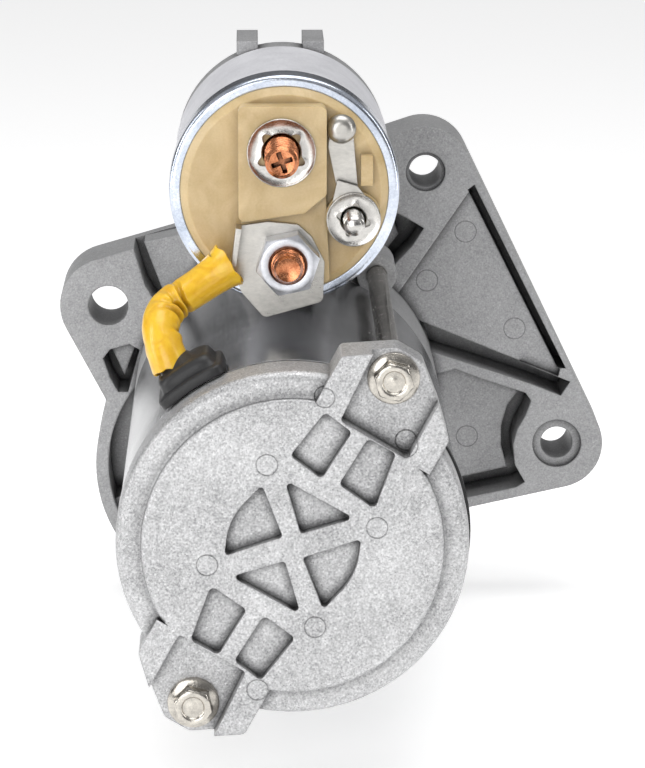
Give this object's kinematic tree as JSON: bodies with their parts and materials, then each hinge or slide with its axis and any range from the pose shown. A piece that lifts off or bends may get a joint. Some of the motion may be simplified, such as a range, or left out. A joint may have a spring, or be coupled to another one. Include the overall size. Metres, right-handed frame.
{
  "type": "starter motor",
  "caption": "Engine starter motor with a solenoid, planetary reduction gear, overrunning clutch and a sliding pinion in a flanged nose housing.",
  "frame": {"origin": "motor axis at the drive housing's front mounting face, where the pilot starts", "axes": "+Y along the motor axis towards the pinion, +Z from the motor towards the solenoid, +X to the right seen from the rear cover"},
  "size_m": [0.1423, 0.222, 0.1568],
  "materials": {
    "cast_aluminium": "sand-blasted die casting",
    "cover_aluminium": "sand-blasted die casting",
    "yoke_steel": "zinc plated, rolled",
    "can_steel": "bright zinc plated",
    "steel": "ground",
    "plated_steel": "bright zinc plated",
    "tin_plate": "tin plated",
    "copper": "bare copper",
    "bronze": "sintered",
    "cap_plastic": "moulded, natural",
    "black_plastic": "moulded",
    "black_rubber": "moulded",
    "yellow_sleeve": "shrunk sleeve",
    "ferrite": "sintered",
    "carbon": "pressed copper and carbon",
    "enamelled_copper": "enamelled winding",
    "lamination": "stacked sheet",
    "lever_plastic": "glass filled"
  },
  "bodies": {
    "casing": {"battery_stud": "copper", "battery_washer": "plated_steel", "brush_holders": "plated_steel", "brush_plate": "black_plastic", "brush_springs": "steel", "brushes": "carbon", "centre_bush": "bronze", "centre_plate": "plated_steel", "coil_bobbin": "black_plastic", "cover_gasket": "black_rubber", "drive_housing": "cast_aluminium", "field_magnets": "ferrite", "hold_in_winding": "enamelled_copper", "intermediate_plate": "plated_steel", "lead_grommet": "black_rubber", "lever_bearing_block": "black_rubber", "lever_pin": "steel", "magnet_clips": "steel", "motor_lead": "yellow_sleeve", "motor_stud": "copper", "motor_terminal_nut": "plated_steel", "nose_bush": "bronze", "pull_in_winding": "enamelled_copper", "rear_bush": "bronze", "rear_cover": "cover_aluminium", "ring_gear": "black_plastic", "signal_rivet": "tin_plate", "signal_strip": "tin_plate", "signal_stud": "plated_steel", "signal_washer": "plated_steel", "solenoid_can": "can_steel", "solenoid_cap": "cap_plastic", "solenoid_core": "steel", "solenoid_screws": "plated_steel", "terminal_plate": "tin_plate", "through_bolts": "plated_steel", "yoke": "yoke_steel"},
    "armature": {"armature_shaft": "steel", "armature_core": "lamination", "armature_windings": "enamelled_copper", "commutator": "copper", "sun_gear": "steel"},
    "reduction_shaft": {"drive_shaft": "steel", "planet_pins": "steel", "pilot_bush": "bronze", "stop_ring": "plated_steel", "circlip": "steel"},
    "planet_1": {"planet_gear_1": "steel"},
    "planet_2": {"planet_gear_2": "steel"},
    "planet_3": {"planet_gear_3": "steel"},
    "clutch": {"clutch_sleeve": "steel", "clutch_cover": "plated_steel", "clutch_rollers": "steel", "meshing_spring": "steel"},
    "pinion": {"pinion": "steel"},
    "lever": {"shift_lever": "lever_plastic"},
    "plunger": {"plunger": "plated_steel", "return_spring": "steel"},
    "contact": {"contact_bridge": "copper", "contact_rod": "black_plastic"}
  },
  "joints": [
    {"name": "armature_spin", "type": "hinge", "parent": "casing", "child": "armature", "pos_m": [0, -0.1, 0], "axis": [0, 1, 0], "continuous": true},
    {"name": "reduction_spin", "type": "hinge", "parent": "casing", "child": "reduction_shaft", "pos_m": [0, -0.03, 0], "axis": [0, 1, 0], "continuous": true},
    {"name": "planet_1_spin", "type": "hinge", "parent": "reduction_shaft", "child": "planet_1", "pos_m": [0, -0.066, 0.01875], "axis": [0, 1, 0], "continuous": true},
    {"name": "planet_2_spin", "type": "hinge", "parent": "reduction_shaft", "child": "planet_2", "pos_m": [-0.01624, -0.066, -0.00937], "axis": [0, 1, 0], "continuous": true},
    {"name": "planet_3_spin", "type": "hinge", "parent": "reduction_shaft", "child": "planet_3", "pos_m": [0.01624, -0.066, -0.00937], "axis": [0, 1, 0], "continuous": true},
    {"name": "plunger_slide", "type": "slide", "parent": "casing", "child": "plunger", "axis": [0, -1, 0], "range_m": [0, 0.009], "stiffness_N_per_m": 1500, "springref_m": -0.006, "deforming": ["return_spring"]},
    {"name": "clutch_slide", "type": "slide", "parent": "reduction_shaft", "child": "clutch", "axis": [0, 1, 0], "range_m": [0, 0.0146]},
    {"name": "pinion_overrun", "type": "hinge", "parent": "clutch", "child": "pinion", "pos_m": [0, 0.01, 0], "axis": [0, 1, 0], "continuous": true},
    {"name": "lever_swing", "type": "hinge", "parent": "casing", "child": "lever", "pos_m": [0, -0.048, 0.045], "axis": [1, 0, 0], "range_deg": [0, 18.44]},
    {"name": "contact_slide", "type": "slide", "parent": "casing", "child": "contact", "axis": [0, -1, 0], "range_m": [0, 0.00226]}
  ],
  "couplings": [
    {"joint": "reduction_spin", "follows": "armature_spin", "ratio": 0.2},
    {"joint": "planet_1_spin", "follows": "armature_spin", "ratio": -0.53333},
    {"joint": "planet_2_spin", "follows": "armature_spin", "ratio": -0.53333},
    {"joint": "planet_3_spin", "follows": "armature_spin", "ratio": -0.53333},
    {"joint": "clutch_slide", "follows": "plunger_slide", "ratio": 1.6163},
    {"joint": "lever_swing", "follows": "plunger_slide", "rad_per_m": 35.662},
    {"joint": "contact_slide", "follows": "plunger_slide", "ratio": 0.25}
  ]
}
